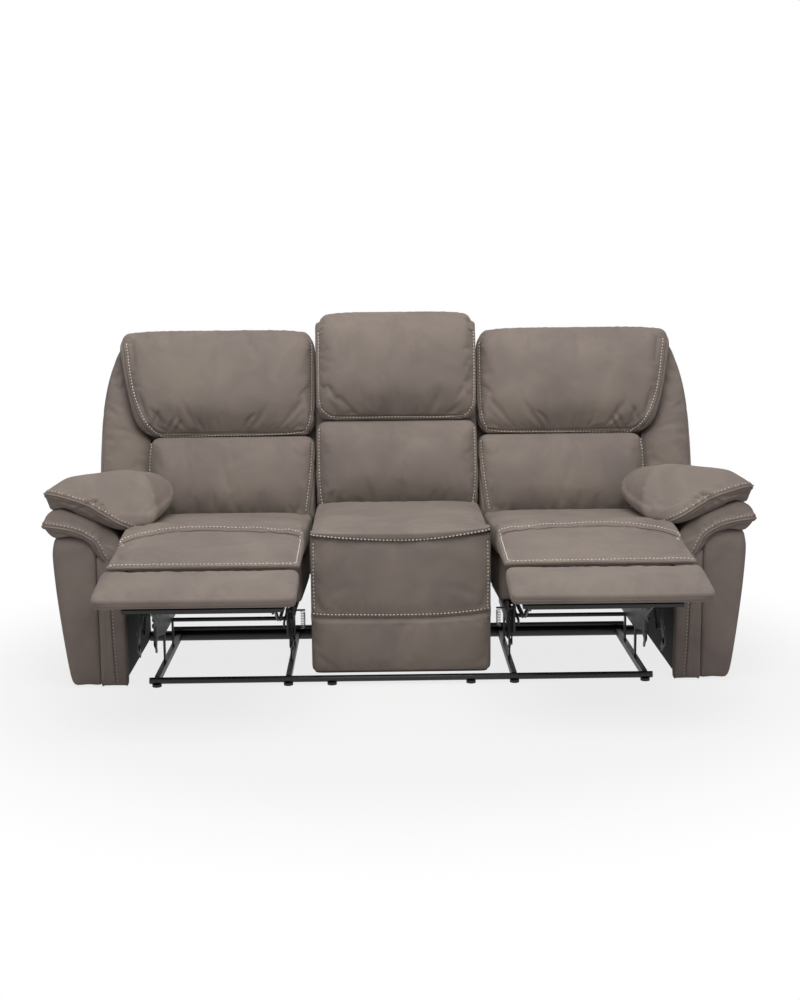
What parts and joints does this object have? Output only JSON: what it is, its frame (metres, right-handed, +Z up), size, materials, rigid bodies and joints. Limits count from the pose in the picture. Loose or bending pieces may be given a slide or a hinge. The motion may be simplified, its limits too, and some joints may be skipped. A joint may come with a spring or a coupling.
{
  "type": "reclining sofa",
  "caption": "Padded three-seat reclining sofa: the end seats recline on steel linkages with fold-out footrests, beside a fixed middle seat.",
  "frame": {"origin": "middle of the whole sofa's footprint on the floor, with both footrests out", "axes": "+X along the sofa to the right as seen from the front, +Y from the footrests to the backs, +Z up"},
  "size_m": [2.138, 1.3723, 1.098],
  "materials": {
    "cover_fabric": "taupe faux suede upholstery with pale contrast stitching",
    "black_lining": "black lining cloth over the arm frame",
    "black_steel": "black powder coat",
    "glide_plastic": "matte moulded",
    "lever_plastic": "fine moulded grain",
    "spring_steel": "bright zinc plated"
  },
  "bodies": {
    "base": {"base_front_tube": "black_steel", "base_rear_frame": "black_steel", "left_glide_outer": "glide_plastic", "left_glide_inner": "glide_plastic", "left_glide_centre": "glide_plastic", "left_floor_rail_outer": "black_steel", "left_floor_rail_inner": "black_steel", "left_side_plate_outer": "black_steel", "left_side_plate_inner": "black_steel", "left_arm_frame": "black_lining", "left_arm_facing": "cover_fabric", "left_arm_outer_panel": "cover_fabric", "left_arm_roll": "cover_fabric", "left_arm_pillow": "cover_fabric", "right_glide_outer": "glide_plastic", "right_glide_inner": "glide_plastic", "right_glide_centre": "glide_plastic", "right_floor_rail_outer": "black_steel", "right_floor_rail_inner": "black_steel", "right_side_plate_outer": "black_steel", "right_side_plate_inner": "black_steel", "right_arm_frame": "black_lining", "right_arm_facing": "cover_fabric", "right_arm_outer_panel": "cover_fabric", "right_arm_roll": "cover_fabric", "right_arm_pillow": "cover_fabric", "centre_seat_box": "cover_fabric", "centre_seat_cushion": "cover_fabric", "centre_front_pad": "cover_fabric", "centre_back_frame": "cover_fabric", "centre_lumbar_pad": "cover_fabric", "centre_headrest_pad": "cover_fabric"},
    "left_seat": {"left_seat_frame": "black_steel", "left_seat_box": "cover_fabric", "left_seat_cushion": "cover_fabric", "left_tension_spring": "spring_steel"},
    "left_back": {"left_back_frame": "cover_fabric", "left_lumbar_pad": "cover_fabric", "left_headrest_pad": "cover_fabric", "left_back_wing": "cover_fabric"},
    "left_rear_link": {"left_rear_links": "black_steel"},
    "left_front_link": {"left_front_links": "black_steel"},
    "left_footrest_panel": {"left_footrest_pad": "cover_fabric", "left_footrest_frame": "black_steel"},
    "left_chaise": {"left_chaise_pad": "cover_fabric"},
    "left_lever_arm": {"left_release_lever": "lever_plastic"},
    "right_seat": {"right_seat_frame": "black_steel", "right_seat_box": "cover_fabric", "right_seat_cushion": "cover_fabric", "right_tension_spring": "spring_steel"},
    "right_back": {"right_back_frame": "cover_fabric", "right_lumbar_pad": "cover_fabric", "right_headrest_pad": "cover_fabric", "right_back_wing": "cover_fabric"},
    "right_rear_link": {"right_rear_links": "black_steel"},
    "right_front_link": {"right_front_links": "black_steel"},
    "right_footrest_panel": {"right_footrest_pad": "cover_fabric", "right_footrest_frame": "black_steel"},
    "right_chaise": {"right_chaise_pad": "cover_fabric"},
    "right_lever_arm": {"right_release_lever": "lever_plastic"}
  },
  "joints": [
    {"name": "left_seat_tilt", "type": "hinge", "parent": "base", "child": "left_seat", "pos_m": [-0.545, -0.175, 0.225], "axis": [1, 0, 0], "range_deg": [0, 5.1]},
    {"name": "left_footrest", "type": "hinge", "parent": "left_seat", "child": "left_rear_link", "pos_m": [-0.545, -0.0977, 0.2251], "axis": [1, 0, 0], "range_deg": [0, 116]},
    {"name": "left_front_link_turn", "type": "hinge", "parent": "left_rear_link", "child": "left_front_link", "pos_m": [-0.545, -0.30481, 0.234], "axis": [1, 0, 0], "range_deg": [-135, 0]},
    {"name": "left_footrest_turn", "type": "hinge", "parent": "left_front_link", "child": "left_footrest_panel", "pos_m": [-0.545, -0.50658, 0.33105], "axis": [1, 0, 0], "range_deg": [0, 93]},
    {"name": "left_chaise_turn", "type": "hinge", "parent": "left_seat", "child": "left_chaise", "pos_m": [-0.545, -0.244, 0.459], "axis": [1, 0, 0], "range_deg": [0, 86]},
    {"name": "left_recline", "type": "hinge", "parent": "left_seat", "child": "left_back", "pos_m": [-0.545, 0.40531, 0.18025], "axis": [-1, 0, 0], "range_deg": [0, 25]},
    {"name": "left_lever", "type": "hinge", "parent": "base", "child": "left_lever_arm", "pos_m": [-1.04, 0.125, 0.3], "axis": [-1, 0, 0], "range_deg": [0, 35], "stiffness_Nm_per_rad": 0.6},
    {"name": "right_seat_tilt", "type": "hinge", "parent": "base", "child": "right_seat", "pos_m": [0.545, -0.175, 0.225], "axis": [1, 0, 0], "range_deg": [0, 5.1]},
    {"name": "right_footrest", "type": "hinge", "parent": "right_seat", "child": "right_rear_link", "pos_m": [0.545, -0.0977, 0.2251], "axis": [1, 0, 0], "range_deg": [0, 116]},
    {"name": "right_front_link_turn", "type": "hinge", "parent": "right_rear_link", "child": "right_front_link", "pos_m": [0.545, -0.30481, 0.234], "axis": [1, 0, 0], "range_deg": [-135, 0]},
    {"name": "right_footrest_turn", "type": "hinge", "parent": "right_front_link", "child": "right_footrest_panel", "pos_m": [0.545, -0.50658, 0.33105], "axis": [1, 0, 0], "range_deg": [0, 93]},
    {"name": "right_chaise_turn", "type": "hinge", "parent": "right_seat", "child": "right_chaise", "pos_m": [0.545, -0.244, 0.459], "axis": [1, 0, 0], "range_deg": [0, 86]},
    {"name": "right_recline", "type": "hinge", "parent": "right_seat", "child": "right_back", "pos_m": [0.545, 0.40531, 0.18025], "axis": [-1, 0, 0], "range_deg": [0, 25]},
    {"name": "right_lever", "type": "hinge", "parent": "base", "child": "right_lever_arm", "pos_m": [1.04, 0.125, 0.3], "axis": [-1, 0, 0], "range_deg": [0, 35], "stiffness_Nm_per_rad": 0.6}
  ],
  "couplings": [
    {"joint": "left_seat_tilt", "follows": "left_footrest", "ratio": 0.0431},
    {"joint": "left_front_link_turn", "follows": "left_footrest", "ratio": -1.1566},
    {"joint": "left_footrest_turn", "follows": "left_footrest", "ratio": 0.79457},
    {"joint": "left_chaise_turn", "follows": "left_footrest", "ratio": 0.73276},
    {"joint": "right_seat_tilt", "follows": "right_footrest", "ratio": 0.0431},
    {"joint": "right_front_link_turn", "follows": "right_footrest", "ratio": -1.1566},
    {"joint": "right_footrest_turn", "follows": "right_footrest", "ratio": 0.79457},
    {"joint": "right_chaise_turn", "follows": "right_footrest", "ratio": 0.73276}
  ]
}
